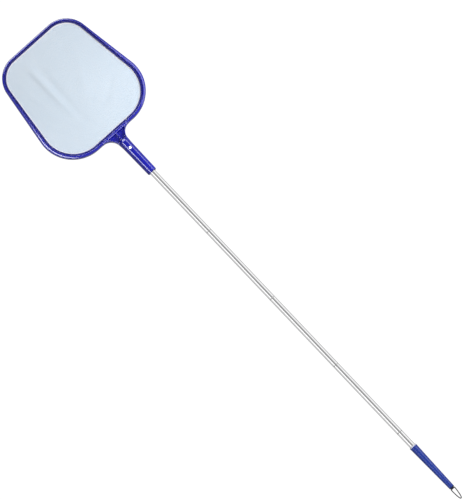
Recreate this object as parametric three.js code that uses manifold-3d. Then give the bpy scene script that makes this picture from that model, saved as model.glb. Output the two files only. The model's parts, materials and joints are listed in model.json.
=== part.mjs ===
// A leaf skimmer net, lying flat with its back on the ground.
//
// Millimetres, +Z up. The pole runs along Y with the head towards +Y, and the part is
// symmetrical about X = 0 apart from the split in the mesh retainer.
// Heights are measured from the flat back of the head. Lengths along Y are measured from the
// mouth of the pole socket, and one group shifts the whole part so that the origin comes to
// the middle of its length.

import * as THREE from 'three';
import { mergeVertices } from 'three/addons/utils/BufferGeometryUtils.js';
import Module from 'manifold-3d';

const wasm = await Module();
wasm.setup();

// ---- Driving dimensions ----

// The rim, seen from above, is a trapezoid with rounded corners. Half widths are those of the
// sharp corners, before rounding, and the edges are distances from the rim's own centre.
const RIM_CENTRE_Y = 283;
const RIM_OUTER = { far: 159.5, near: -152.2, farHalf: 118.5, nearHalf: 165.7, farRound: 66.7, nearRound: 93.1 };
const RIM_INNER = { far: 149.5, near: -140.3, farHalf: 111.5, nearHalf: 147.6, farRound: 57.5, nearRound: 80 };
const RIM_HEIGHT = 15;
const RIM_EDGE_ROUND = 1.8;
const ARC_STEPS = 6; // half the segments of one rounded corner

// The ledge inside the rim, the net that lies on it and the ring that pins the net.
const LEDGE_HEIGHT = 5.5;
const LEDGE_HIDDEN = 0.4; // how far the ledge stays behind the ring's inner edge
const NET_BOTTOM = 5.8;
const NET_THICKNESS = 0.8;
const NET_UNDER_RING = 3;
const RING_WIDTH = 4.2;
const RING_BOTTOM = 6.9;
const RING_TOP = 12.8;
const RING_EDGE_ROUND = 0.9;
const RING_SPLIT_X = 43;
const RING_SPLIT_WIDTH = 3;
const FIT_GAP = 0.3;

// The pole: aluminium tube in five sections, joined by plugs.
const POLE_RADIUS = 8;
const POLE_WALL = 1;
const POLE_AXIS_HEIGHT = 10.2;
const POLE_TOP_Y = 95.5;
const POLE_BOTTOM_Y = -968;
const JOINT_SPACING = 226.3;
const FIRST_JOINT_Y = -202;
const SECTIONS = 5;
const ROUND_STEPS = 32;
const SMALL_ROUND_STEPS = 24;

// The socket is round, slightly tapered, and cut flat where it meets the ground.
const SOCKET_MOUTH_RADIUS = 12.3;
const SOCKET_END_RADIUS = 13.4;
const SOCKET_BARREL = 99;
const SOCKET_LENGTH = 110;
const SOCKET_NOSE_RADIUS = 4.8;
const SOCKET_MOUTH_ROUND = 2.4;
const SOCKET_BORE_DEPTH = 96;
const SOCKET_CLEARANCE = 0.25;

// The throat is a floor plate between two curved side ribs, with a rib down the middle.
const THROAT_HEIGHT = 14.4;
const THROAT_FLOOR = 3;
const FLARE_RADIUS = 29;
const FLARE_CENTRE = { x: 42.6, y: 101.5 };
const SIDE_RIB = 3.4;
const MIDDLE_RIB = 4.4;
const RIB_RUN_OUT = { x: 11.6, y: 88 }; // where the side ribs sink into the socket
const POCKET_NEAR_Y = 108.5;
const POCKET_FAR_Y = 130.4;

// The snap button stands in the first section's wall and shows in a hole in the socket.
const BUTTON_Y = 79.7;
const BUTTON_RADIUS = 3.2;
const BUTTON_FLANGE_RADIUS = 4.4;
const BUTTON_FLANGE_BOTTOM = 3.2; // above the pole's axis
const BUTTON_FLANGE_TOP = 4.6;
const BUTTON_TOP = 13.4;
const BUTTON_DOME = 1.6;
const BUTTON_HOLE_RADIUS = 3.6;
const SPRING_WIDTH = 6;
const SPRING_THICKNESS = 0.5;
const SPRING_LENGTH = 46;

// The joint plugs are hollow, with a thin stop collar between the two tubes.
const PLUG_RADIUS = 6.82;
const PLUG_BORE = 4.9;
const PLUG_REACH = 30;
const COLLAR_RADIUS = 7.85;
const COLLAR_WIDTH = 0.8;
const BUTT_GAP = 0.2;

// The grip: a tapered hollow sleeve over the last section, closed by the end cap.
const GRIP_MOUTH_Y = -927;
const GRIP_END_Y = -1064.8;
const GRIP_COLLAR_RADIUS = 10.15;
const GRIP_COLLAR_WIDTH = 5;
const GRIP_NECK_RADIUS = 9.75;
const GRIP_END_RADIUS = 6.9;
const GRIP_HOLLOW_START = 6.9;
const GRIP_HOLLOW_END = 4.9;
const CAP_PLUG_RADIUS = 4.6;
const CAP_PLUG_LENGTH = 12;
const CAP_FLANGE = 1.2;
const TONGUE_WIDTH = 7.6;
const TONGUE_HALF_HEIGHT = 2.6;
const PIVOT_BEYOND_GRIP = 3; // from the sleeve's end to the loop's pivot

// The hang loop: round wire whose ends turn inwards into the cap's tongue. It lies tipped down
// until its point meets the ground.
const WIRE_RADIUS = 1.25;
const LOOP_HALF_WIDTH = 5.45;
const LOOP_WAIST = { halfWidth: 4, reach: 21.5 };
const LOOP_REACH = 31.8; // from the pivot to the wire's centre line at the point
const LOOP_BEND = 2.4;
const LOOP_TIP_ROUND = 2.2;
const LOOP_GROUND_GAP = 0.1;
const LOOP_END_GAP = 1; // from the middle of the tongue to each wire end
const PIVOT_HOLE_RADIUS = 1.6;

// ---- Finishes ----

const finish = (color, roughness, metalness = 0) =>
  new THREE.MeshStandardMaterial({ color, roughness, metalness });
const headBlue = () => finish(0x383ea8, 0.35);
const retainerNavy = () => finish(0x14143c, 0.45);
const netWhite = () => finish(0xd4e2ee, 0.8);
const gripBlue = () => finish(0x2f4fa6, 0.45);
const capNavy = () => finish(0x1d2748, 0.5);
const aluminium = () => finish(0xd6d6d8, 0.25, 1);
const steel = () => finish(0x8b8e92, 0.3, 1);
const nylon = () => finish(0xc9c9c6, 0.6);
const buttonWhite = () => finish(0xeeeef2, 0.25);

// ---- Solids: joining and cutting ----

function solidOf(geometry) {
  geometry.deleteAttribute('normal');
  geometry.deleteAttribute('uv');
  const merged = mergeVertices(geometry, 1e-4);
  const corners = merged.index.array;
  const kept = [];
  for (let i = 0; i < corners.length; i += 3) {
    const [a, b, c] = corners.slice(i, i + 3);
    if (a !== b && b !== c && c !== a) kept.push(a, b, c);
  }
  return new wasm.Manifold(new wasm.Mesh({
    numProp: 3,
    vertProperties: new Float32Array(merged.attributes.position.array),
    triVerts: new Uint32Array(kept),
  }));
}

function geometryOf(solid) {
  const mesh = solid.getMesh();
  const geometry = new THREE.BufferGeometry();
  geometry.setAttribute('position', new THREE.BufferAttribute(mesh.vertProperties, 3));
  geometry.setIndex(new THREE.BufferAttribute(mesh.triVerts, 1));
  geometry.computeVertexNormals();
  return geometry;
}

const part = new THREE.Group();

function place(name, geometry, material) {
  const mesh = new THREE.Mesh(geometry, material);
  mesh.name = name;
  part.add(mesh);
  return mesh;
}

// ---- Outlines ----

// A closed outline through the given corners, each rounded to its own radius.
function roundedOutline(corners, Outline = THREE.Shape) {
  const outline = new Outline();
  corners.forEach((corner, i) => {
    const before = corners[(i + corners.length - 1) % corners.length];
    const after = corners[(i + 1) % corners.length];
    const point = new THREE.Vector2(corner.x, corner.y);
    const toBefore = new THREE.Vector2(before.x, before.y).sub(point).normalize();
    const toAfter = new THREE.Vector2(after.x, after.y).sub(point).normalize();
    const halfAngle = Math.acos(toBefore.dot(toAfter)) / 2;
    const inwards = toBefore.clone().add(toAfter).normalize();
    const centre = point.clone().addScaledVector(inwards, corner.round / Math.sin(halfAngle));
    const reach = corner.round / Math.tan(halfAngle);
    const start = point.clone().addScaledVector(toBefore, reach).sub(centre);
    const end = point.clone().addScaledVector(toAfter, reach).sub(centre);
    const clockwise = toBefore.cross(toAfter) > 0;
    outline.absarc(centre.x, centre.y, corner.round, start.angle(), end.angle(), clockwise);
  });
  outline.closePath();
  return outline;
}

// The rim's trapezoid, moved outwards by grow.
function trapezoid(size, grow, Outline) {
  const lean = (size.nearHalf - size.farHalf) / (size.far - size.near);
  const sideways = grow * Math.sqrt(1 + lean * lean);
  const far = { y: size.far + grow, half: size.farHalf + sideways - grow * lean, round: size.farRound + grow };
  const near = { y: size.near - grow, half: size.nearHalf + sideways + grow * lean, round: size.nearRound + grow };
  return roundedOutline([
    { x: far.half, y: far.y, round: far.round },
    { x: -far.half, y: far.y, round: far.round },
    { x: -near.half, y: near.y, round: near.round },
    { x: near.half, y: near.y, round: near.round },
  ], Outline);
}

// A slab of the outline from bottom to top, its edges rounded over.
function slab(outline, bottom, top, edgeRound = 0) {
  const geometry = new THREE.ExtrudeGeometry(outline, {
    depth: top - bottom - 2 * edgeRound,
    curveSegments: ARC_STEPS,
    bevelEnabled: edgeRound > 0,
    bevelThickness: edgeRound,
    bevelSize: edgeRound,
    bevelOffset: -edgeRound,
    bevelSegments: 3,
    steps: 1,
  });
  geometry.translate(0, 0, bottom + edgeRound);
  return geometry;
}

function ring(outer, inner, bottom, top, edgeRound) {
  outer.holes.push(inner);
  return slab(outer, bottom, top, edgeRound);
}

// A turned piece on the pole's axis. The profile lists [radius, y] pairs.
function turned(profile, steps = ROUND_STEPS) {
  const points = profile.map(([radius, y]) => new THREE.Vector2(radius, y));
  return new THREE.LatheGeometry(points, steps);
}

function tube(outerRadius, innerRadius, fromY, toY) {
  const section = [[innerRadius, fromY], [outerRadius, fromY], [outerRadius, toY], [innerRadius, toY]];
  return turned([...section, section[0]]);
}

const onAxis = (geometry) => geometry.translate(0, 0, POLE_AXIS_HEIGHT);

function uprightCylinder(radius, bottom, top, y) {
  const geometry = new THREE.CylinderGeometry(radius, radius, top - bottom, SMALL_ROUND_STEPS);
  geometry.rotateX(Math.PI / 2);
  return geometry.translate(0, y, (bottom + top) / 2);
}

// ---- Head ----

function rim() {
  const bead = ring(
    trapezoid(RIM_OUTER, 0),
    trapezoid(RIM_INNER, RING_WIDTH + FIT_GAP, THREE.Path),
    0, RIM_HEIGHT, RIM_EDGE_ROUND,
  );
  const ledgeOverlap = RIM_EDGE_ROUND + 1; // the ledge runs into the bead past its rounded edge
  const ledge = ring(
    trapezoid(RIM_INNER, RING_WIDTH + ledgeOverlap),
    trapezoid(RIM_INNER, LEDGE_HIDDEN, THREE.Path),
    0, LEDGE_HEIGHT, 0,
  );
  const whole = solidOf(bead).add(solidOf(ledge));
  return whole.translate([0, RIM_CENTRE_Y, 0]);
}

// The flares are arcs that leave the socket's sides and meet the rim's near edge.
function throatOutline() {
  const top = RIM_CENTRE_Y + RIM_OUTER.near + RIM_EDGE_ROUND + 1;
  const { x, y } = FLARE_CENTRE;
  const outline = new THREE.Shape();
  outline.absarc(x, y, FLARE_RADIUS, Math.PI / 2, Math.PI, false);
  outline.lineTo(RIB_RUN_OUT.x, RIB_RUN_OUT.y);
  outline.lineTo(-RIB_RUN_OUT.x, RIB_RUN_OUT.y);
  outline.absarc(-x, y, FLARE_RADIUS, 0, Math.PI / 2, false);
  outline.lineTo(-x, top);
  outline.lineTo(x, top);
  outline.closePath();
  return outline;
}

function pocket(side) {
  const radius = FLARE_RADIUS + SIDE_RIB;
  const { x, y } = FLARE_CENTRE;
  const angleAt = (height) => Math.PI - Math.asin((height - y) / radius);
  const outline = new THREE.Shape();
  outline.moveTo(MIDDLE_RIB / 2, POCKET_FAR_Y);
  outline.lineTo(MIDDLE_RIB / 2, POCKET_NEAR_Y);
  outline.absarc(x, y, radius, angleAt(POCKET_NEAR_Y), angleAt(POCKET_FAR_Y), true);
  outline.closePath();
  const solid = solidOf(slab(outline, THROAT_FLOOR, THROAT_HEIGHT + 1));
  return side > 0 ? solid : solid.mirror([1, 0, 0]);
}

function socketBody() {
  const round = SOCKET_MOUTH_ROUND;
  const mouthArc = [0, 30, 60, 90].map((degrees) => {
    const angle = THREE.MathUtils.degToRad(degrees);
    return [SOCKET_MOUTH_RADIUS - round * (1 - Math.sin(angle)), round * (1 - Math.cos(angle))];
  });
  const noseArc = [30, 60, 90].map((degrees) => {
    const angle = THREE.MathUtils.degToRad(degrees);
    const radius = SOCKET_NOSE_RADIUS + (SOCKET_END_RADIUS - SOCKET_NOSE_RADIUS) * Math.cos(angle);
    return [radius, SOCKET_BARREL + (SOCKET_LENGTH - SOCKET_BARREL) * Math.sin(angle)];
  });
  const profile = [[0, 0], ...mouthArc, [SOCKET_END_RADIUS, SOCKET_BARREL], ...noseArc, [0, SOCKET_LENGTH]];
  return solidOf(onAxis(turned(profile)));
}

function headFrame() {
  const boreRadius = POLE_RADIUS + SOCKET_CLEARANCE;
  const mouthCut = 1.2; // lead-in chamfer
  const bore = solidOf(onAxis(turned([
    [0, -1], [boreRadius + mouthCut + 1, -1], [boreRadius, mouthCut],
    [boreRadius, SOCKET_BORE_DEPTH], [0, SOCKET_BORE_DEPTH],
  ])));
  const buttonHole = solidOf(uprightCylinder(BUTTON_HOLE_RADIUS, POLE_AXIS_HEIGHT, RIM_HEIGHT * 2, BUTTON_Y));
  const below = solidOf(new THREE.BoxGeometry(60, 300, 20).translate(0, 60, -10));
  return rim()
    .add(solidOf(slab(throatOutline(), 0, THROAT_HEIGHT)))
    .add(socketBody())
    .subtract(pocket(1))
    .subtract(pocket(-1))
    .subtract(bore)
    .subtract(buttonHole)
    .subtract(below);
}

function meshRetainer() {
  const whole = solidOf(ring(
    trapezoid(RIM_INNER, RING_WIDTH),
    trapezoid(RIM_INNER, 0, THREE.Path),
    RING_BOTTOM, RING_TOP, RING_EDGE_ROUND,
  )).translate([0, RIM_CENTRE_Y, 0]);
  const split = new THREE.BoxGeometry(RING_SPLIT_WIDTH, 30, 30);
  split.translate(RING_SPLIT_X, RIM_CENTRE_Y + RIM_INNER.near, RING_TOP);
  return whole.subtract(solidOf(split));
}

function addHead() {
  place('head_frame', geometryOf(headFrame()), headBlue());
  place('mesh_retainer', geometryOf(meshRetainer()), retainerNavy());
  const net = slab(trapezoid(RIM_INNER, NET_UNDER_RING), NET_BOTTOM, NET_BOTTOM + NET_THICKNESS);
  place('net_mesh', net, netWhite()).position.y = RIM_CENTRE_Y;
}

// ---- Snap button and its spring ----

function snapButton() {
  const dome = [30, 60].map((degrees) => {
    const angle = THREE.MathUtils.degToRad(degrees);
    return [BUTTON_RADIUS * Math.cos(angle), BUTTON_TOP - BUTTON_DOME * (1 - Math.sin(angle))];
  });
  return turned([
    [0, BUTTON_FLANGE_BOTTOM],
    [BUTTON_FLANGE_RADIUS, BUTTON_FLANGE_BOTTOM],
    [BUTTON_FLANGE_RADIUS, BUTTON_FLANGE_TOP],
    [BUTTON_RADIUS, BUTTON_FLANGE_TOP],
    [BUTTON_RADIUS, BUTTON_TOP - BUTTON_DOME],
    ...dome,
    [0, BUTTON_TOP],
  ], SMALL_ROUND_STEPS).rotateX(Math.PI / 2);
}

// A strip bent to a V: one leg lies in the tube and the other holds up the button.
function buttonSpring() {
  const lowest = -Math.sqrt((POLE_RADIUS - POLE_WALL) ** 2 - (SPRING_WIDTH / 2) ** 2) + FIT_GAP;
  const highest = BUTTON_FLANGE_BOTTOM - FIT_GAP;
  const t = SPRING_THICKNESS;
  const openEnd = BUTTON_FLANGE_RADIUS + 1;
  const fold = openEnd - SPRING_LENGTH;
  const outline = new THREE.Shape();
  outline.moveTo(openEnd, lowest);
  outline.lineTo(openEnd, lowest + t);
  outline.lineTo(fold + 2 * t, lowest + t);
  outline.lineTo(-BUTTON_FLANGE_RADIUS, highest - t);
  outline.lineTo(openEnd, highest - t);
  outline.lineTo(openEnd, highest);
  outline.lineTo(-BUTTON_FLANGE_RADIUS, highest);
  outline.lineTo(fold, lowest + 2 * t);
  outline.lineTo(fold, lowest);
  outline.closePath();
  const strip = new THREE.ExtrudeGeometry(outline, { depth: SPRING_WIDTH, bevelEnabled: false });
  // the outline's x runs along the pole and its y runs up
  strip.rotateX(Math.PI / 2).rotateZ(Math.PI / 2);
  return strip.translate(-SPRING_WIDTH / 2, BUTTON_Y, POLE_AXIS_HEIGHT);
}

function addButton() {
  place('snap_button', snapButton(), buttonWhite()).position.set(0, BUTTON_Y, POLE_AXIS_HEIGHT);
  place('button_spring', buttonSpring(), steel());
}

// ---- Pole ----

const jointY = (number) => FIRST_JOINT_Y - (number - 1) * JOINT_SPACING;

function poleSection(number) {
  const endGap = COLLAR_WIDTH / 2 + BUTT_GAP;
  const top = number === 1 ? POLE_TOP_Y : jointY(number - 1) - endGap;
  const bottom = number === SECTIONS ? POLE_BOTTOM_Y : jointY(number) + endGap;
  const section = onAxis(tube(POLE_RADIUS, POLE_RADIUS - POLE_WALL, bottom, top));
  if (number > 1) return section;
  const holeRadius = BUTTON_RADIUS + FIT_GAP;
  const hole = uprightCylinder(holeRadius, POLE_AXIS_HEIGHT, 2 * POLE_AXIS_HEIGHT, BUTTON_Y);
  return geometryOf(solidOf(section).subtract(solidOf(hole)));
}

function jointPlug(number) {
  const leadIn = 2;
  const half = COLLAR_WIDTH / 2;
  return onAxis(turned([
    [PLUG_BORE, -PLUG_REACH],
    [PLUG_RADIUS - 1, -PLUG_REACH],
    [PLUG_RADIUS, -PLUG_REACH + leadIn],
    [PLUG_RADIUS, -half],
    [COLLAR_RADIUS, -half],
    [COLLAR_RADIUS, half],
    [PLUG_RADIUS, half],
    [PLUG_RADIUS, PLUG_REACH - leadIn],
    [PLUG_RADIUS - 1, PLUG_REACH],
    [PLUG_BORE, PLUG_REACH],
    [PLUG_BORE, -PLUG_REACH],
  ])).translate(0, jointY(number), 0);
}

function addPole() {
  for (let number = 1; number <= SECTIONS; number += 1) {
    place(`pole_section_${number}`, poleSection(number), aluminium());
  }
  for (let number = 1; number < SECTIONS; number += 1) {
    place(`joint_plug_${number}`, jointPlug(number), nylon());
  }
}

// ---- Grip, end cap and hang loop ----

function gripSleeve() {
  const bore = POLE_RADIUS + SOCKET_CLEARANCE;
  const shoulder = POLE_BOTTOM_Y - FIT_GAP;
  const edge = 1;
  return onAxis(turned([
    [bore, GRIP_MOUTH_Y],
    [bore, shoulder],
    [GRIP_HOLLOW_START, shoulder - 1],
    [GRIP_HOLLOW_END, GRIP_END_Y + CAP_PLUG_LENGTH + 2],
    [GRIP_HOLLOW_END, GRIP_END_Y],
    [GRIP_END_RADIUS - edge, GRIP_END_Y],
    [GRIP_END_RADIUS, GRIP_END_Y + edge],
    [GRIP_NECK_RADIUS, GRIP_MOUTH_Y - GRIP_COLLAR_WIDTH - 1],
    [GRIP_COLLAR_RADIUS, GRIP_MOUTH_Y - GRIP_COLLAR_WIDTH],
    [GRIP_COLLAR_RADIUS, GRIP_MOUTH_Y - edge],
    [GRIP_COLLAR_RADIUS - edge, GRIP_MOUTH_Y],
    [bore, GRIP_MOUTH_Y],
  ]));
}

const pivotY = GRIP_END_Y - PIVOT_BEYOND_GRIP;

function gripEndCap() {
  const flangeTop = GRIP_END_Y - BUTT_GAP;
  const plug = solidOf(onAxis(turned([
    [0, flangeTop - CAP_FLANGE],
    [GRIP_END_RADIUS - 0.4, flangeTop - CAP_FLANGE],
    [GRIP_END_RADIUS, flangeTop - 0.4],
    [GRIP_END_RADIUS - 0.2, flangeTop],
    [CAP_PLUG_RADIUS, flangeTop],
    [CAP_PLUG_RADIUS, flangeTop + CAP_PLUG_LENGTH],
    [0, flangeTop + CAP_PLUG_LENGTH],
  ])));
  const outline = new THREE.Shape();
  outline.moveTo(flangeTop, -TONGUE_HALF_HEIGHT);
  outline.lineTo(flangeTop, TONGUE_HALF_HEIGHT);
  outline.absarc(pivotY, 0, TONGUE_HALF_HEIGHT, Math.PI / 2, (3 * Math.PI) / 2, false);
  outline.closePath();
  const hole = new THREE.Path();
  hole.absarc(pivotY, 0, PIVOT_HOLE_RADIUS, 0, 2 * Math.PI, true);
  outline.holes.push(hole);
  const tongue = new THREE.ExtrudeGeometry(outline, {
    depth: TONGUE_WIDTH, curveSegments: 8, bevelEnabled: false,
  });
  tongue.rotateX(Math.PI / 2).rotateZ(Math.PI / 2);
  tongue.translate(-TONGUE_WIDTH / 2, 0, POLE_AXIS_HEIGHT);
  return geometryOf(plug.add(solidOf(tongue)));
}

// The wire's centre line, in the loop's own plane: x across, y from the pivot to the point.
function loopPath() {
  const onArc = (centreX, centreY, radius, degrees) => {
    const angle = THREE.MathUtils.degToRad(degrees);
    return new THREE.Vector3(centreX + radius * Math.cos(angle), centreY + radius * Math.sin(angle), 0);
  };
  const side = [
    new THREE.Vector3(LOOP_END_GAP, 0, 0),
    ...[90, 60, 30, 0].map((degrees) => onArc(LOOP_HALF_WIDTH - LOOP_BEND, -LOOP_BEND, LOOP_BEND, degrees)),
    new THREE.Vector3(LOOP_WAIST.halfWidth, -LOOP_WAIST.reach, 0),
    ...[-15, -50].map((degrees) => onArc(0, LOOP_TIP_ROUND - LOOP_REACH, LOOP_TIP_ROUND, degrees)),
  ];
  const point = new THREE.Vector3(0, -LOOP_REACH, 0);
  const otherSide = side.map(({ x, y }) => new THREE.Vector3(-x, y, 0)).reverse();
  return new THREE.CatmullRomCurve3([...side, point, ...otherSide], false, 'centripetal');
}

function addGrip() {
  place('grip_sleeve', gripSleeve(), gripBlue());
  place('grip_end_cap', gripEndCap(), capNavy());
  const section = new THREE.Shape();
  section.absarc(0, 0, WIRE_RADIUS, 0, 2 * Math.PI, false);
  const wire = new THREE.ExtrudeGeometry(section, {
    steps: 72, curveSegments: 5, bevelEnabled: false, extrudePath: loopPath(),
  });
  const loop = place('hang_loop', wire, steel());
  loop.position.set(0, pivotY, POLE_AXIS_HEIGHT);
  loop.rotation.x = Math.asin((POLE_AXIS_HEIGHT - WIRE_RADIUS - LOOP_GROUND_GAP) / LOOP_REACH);
}

addHead();
addButton();
addPole();
addGrip();

// The origin is under the middle of the whole length, on the ground.
const box = new THREE.Box3().setFromObject(part);
part.position.y = -(box.min.y + box.max.y) / 2;

export default part;
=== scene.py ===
import json
import math

import bmesh
import bpy
import numpy as np
from mathutils import Matrix, Vector


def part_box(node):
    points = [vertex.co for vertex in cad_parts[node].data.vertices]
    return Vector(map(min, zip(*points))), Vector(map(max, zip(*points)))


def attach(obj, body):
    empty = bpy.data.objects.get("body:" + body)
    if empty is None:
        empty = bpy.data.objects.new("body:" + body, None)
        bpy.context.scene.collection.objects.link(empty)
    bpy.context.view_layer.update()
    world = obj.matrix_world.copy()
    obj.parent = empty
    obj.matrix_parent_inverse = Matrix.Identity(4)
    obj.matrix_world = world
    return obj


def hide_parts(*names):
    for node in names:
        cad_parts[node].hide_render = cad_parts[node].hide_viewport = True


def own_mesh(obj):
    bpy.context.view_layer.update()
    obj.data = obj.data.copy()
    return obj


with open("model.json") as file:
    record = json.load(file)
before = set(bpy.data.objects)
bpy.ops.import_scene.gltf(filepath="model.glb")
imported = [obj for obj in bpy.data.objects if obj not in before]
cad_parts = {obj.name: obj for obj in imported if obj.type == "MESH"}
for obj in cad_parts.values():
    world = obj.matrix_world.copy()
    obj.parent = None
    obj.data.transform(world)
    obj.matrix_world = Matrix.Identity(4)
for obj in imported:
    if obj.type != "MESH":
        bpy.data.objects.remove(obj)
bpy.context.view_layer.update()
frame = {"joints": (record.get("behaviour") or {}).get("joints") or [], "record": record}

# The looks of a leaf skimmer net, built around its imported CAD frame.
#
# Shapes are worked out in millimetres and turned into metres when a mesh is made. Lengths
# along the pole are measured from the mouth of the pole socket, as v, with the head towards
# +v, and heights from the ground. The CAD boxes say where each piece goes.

MM = 0.001

# ---- Dimensions shared with the CAD model, in millimetres ----

# Seen from above, the rim is a trapezoid with rounded corners. Its far and near edges are
# measured from RIM_CENTRE_V, and the half widths are those of the sharp corners.
RIM_CENTRE_V = 283
RIM_OUTER = {
    "far": 159.5, "near": -152.2, "far_half": 118.5, "near_half": 165.7,
    "far_round": 66.7, "near_round": 93.1,
}
RIM_INNER = {
    "far": 149.5, "near": -140.3, "far_half": 111.5, "near_half": 147.6,
    "far_round": 57.5, "near_round": 80,
}
RIM_HEIGHT = 15
LEDGE_HEIGHT = 5.5
NET_UNDER_RING = 3
RING_WIDTH = 4.2
RING_SPLIT_X = 43
RING_SPLIT_WIDTH = 3
FIT_GAP = 0.3
SOCKET_MOUTH_RADIUS = 12.3
SOCKET_END_RADIUS = 13.4
SOCKET_BARREL = 99
SOCKET_LENGTH = 110
SOCKET_NOSE_RADIUS = 4.8
SOCKET_MOUTH_ROUND = 2.4
SOCKET_BORE_RADIUS = 8.25
SOCKET_BORE_DEPTH = 96
SOCKET_LEAD_IN = 1.2
THROAT_HEIGHT = 14.4
THROAT_WEB = (3.6, 7.2)  # height of the pockets' floor at the socket and at the rim
FLARE_RADIUS = 29
FLARE_CENTRE = (42.6, 101.5)
SIDE_RIB = 3.4
MIDDLE_RIB = 4.4
RIB_RUN_OUT = (11.6, 88)
POCKET_NEAR_V = 108.5
POCKET_FAR_V = 130.4
BUTTON_HOLE_RADIUS = 3.6
TUBE_WALL = 1
TUBE_HOLE_RADIUS = 3.5
PLUG_RADIUS = 6.82
PLUG_BORE = 4.9
COLLAR_WIDTH = 0.8
GRIP_COLLAR_RADIUS = 10.15
GRIP_COLLAR_WIDTH = 5
GRIP_NECK_RADIUS = 9.75
GRIP_END_RADIUS = 6.9
GRIP_HOLLOW_START = 6.9
GRIP_HOLLOW_END = 4.9
CAP_PLUG_RADIUS = 4.6
CAP_PLUG_LENGTH = 12
CAP_FLANGE = 1.2
TONGUE_HALF_WIDTH = 3.8
TONGUE_HALF_HEIGHT = 2.6
PIVOT_DEPTH = 2.8  # from the cap's inner face to the loop's pivot
PIVOT_HOLE_RADIUS = 1.6
LOOP_WIRE_RADIUS = 1.25
LOOP_HALF_WIDTH = 5.45
LOOP_BEND = 2.4
LOOP_WAIST = (4, -21.5)  # half width, and how far from the pivot
LOOP_TIP_ROUND = 2.2
LOOP_REACH = 31.8
LOOP_END_GAP = 1  # from the middle of the tongue to each end of the wire
LOOP_GROUND_GAP = 0.1


def millimetre_box(node):
    """A CAD node's lowest and highest corner, in millimetres."""
    low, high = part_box(node)
    return low / MM, high / MM


MOUTH_Y = millimetre_box("head_frame")[0].y
AXIS_HEIGHT = sum(corner.z for corner in millimetre_box("pole_section_1")) / 2
BUTTON_V = sum(corner.y for corner in millimetre_box("snap_button")) / 2 - MOUTH_Y


def put(name, data):
    """A new object in the scene."""
    thing = bpy.data.objects.new(name, data)
    bpy.context.scene.collection.objects.link(thing)
    return thing


# ---- Camera, floor and light ----

CAMERA_AIM = (10.2, -271.2)  # x and v of the point of the ground in the middle of the picture
CAMERA_TURN = 42.81  # degrees that the pole leans from upright in the picture
CAMERA_TIP = 12.5  # degrees that the camera looks up from straight down
PICTURE_HEIGHT = 1.2140  # metres from the picture's bottom to its top at the object
LENS = 800
SENSOR = 36


def add_camera():
    """A distant camera, nearly straight above the part."""
    camera = put("camera", bpy.data.cameras.new("camera"))
    camera.data.lens = LENS
    camera.data.sensor_width = SENSOR
    camera.data.sensor_fit = "AUTO"
    camera.data.clip_end = 200
    distance = PICTURE_HEIGHT * LENS / SENSOR
    lean = Matrix.Rotation(-math.radians(CAMERA_TURN), 3, "Z")
    turn = lean @ Matrix.Rotation(math.radians(CAMERA_TIP), 3, "X")
    aim = Vector((CAMERA_AIM[0], CAMERA_AIM[1] + MOUTH_Y, 0)) * MM
    camera.location = aim + turn @ Vector((0, 0, distance))
    camera.rotation_euler = turn.to_euler()
    bpy.context.scene.camera = camera


def add_sun(name, towards, strength, spread):
    """A soft light that comes from the direction called towards and is spread degrees across."""
    sun = put(name, bpy.data.lights.new(name, "SUN"))
    sun.data.energy = strength
    sun.data.angle = math.radians(spread)
    sun.rotation_euler = Vector(towards).to_track_quat("Z", "Y").to_euler()
    return sun


def add_softbox(name, place, size, watts):
    """A flat light of size (along the pole, across it) at place, turned towards the pole's line."""
    box = put(name, bpy.data.lights.new(name, "AREA"))
    box.data.shape = "RECTANGLE"
    box.data.size, box.data.size_y = size
    box.data.energy = watts
    box.location = place
    box.rotation_euler = Vector((place[0], 0, place[2])).to_track_quat("Z", "Y").to_euler()
    return box


def light_only(lamps, name, pieces):
    """Makes the lamps light nothing but these pieces."""
    group = bpy.data.collections.new(name)
    for piece in pieces:
        group.objects.link(bpy.data.objects[piece])
    for lamp in lamps:
        lamp.light_linking.receiver_collection = group


HEAD_PIECES = ("head_moulding", "mesh_retainer_ring", "snap_button_stud")
PLUG_PIECES = [f"plug_{number}" for number in range(1, 5)]


def add_lights():
    """Broad light from overhead, and softboxes that each light only some of the pieces."""
    overhead = add_sun("overhead_softbox", (0.1, -0.25, 1), 0.9, 110)
    left_strip = add_softbox("left_strip", (-0.50, 0.32, 0.50), (0.9, 0.14), 8.0)
    right_strip = add_softbox("right_strip", (0.55, 0.36, 0.42), (0.9, 0.26), 3.9)
    nose = add_sun("nose_softbox", (0.2, 0.85, 0.50), 9.0, 60)
    throat = add_softbox("throat_softbox", (0.12, 0.24, 0.55), (0.20, 0.4), 2.2)
    left_rim = add_softbox("left_rim_softbox", (-0.40, 0.62, 0.30), (0.3, 0.2), 1.0)
    light_only([left_strip, right_strip, nose, throat, left_rim], "head_pieces", HEAD_PIECES)
    grip_left = add_sun("grip_left_strip", (-0.60, 0.22, 0.77), 0.18, 13)
    grip_right = add_sun("grip_right_softbox", (0.72, 0.22, 0.66), 0.5, 30)
    grip = add_sun("grip_softbox", (0, -0.3, 1), 1.1, 90)
    light_only([grip_left, grip_right, grip], "grip_pieces", ["grip_handle"])
    plugs = add_sun("plug_softbox", (0.2, -0.3, 1), 2.4, 90)
    light_only([plugs], "plug_pieces", PLUG_PIECES)
    fabric = add_softbox("net_softbox", (0.30, 0.34, 0.75), (0.4, 0.4), 5.9)
    light_only([fabric], "fabric_pieces", ["net", "net_hem"])
    for glint in (left_strip, nose):
        glint.visible_diffuse = False
    for fill in (overhead, throat, left_rim, grip):
        fill.visible_glossy = False


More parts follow.
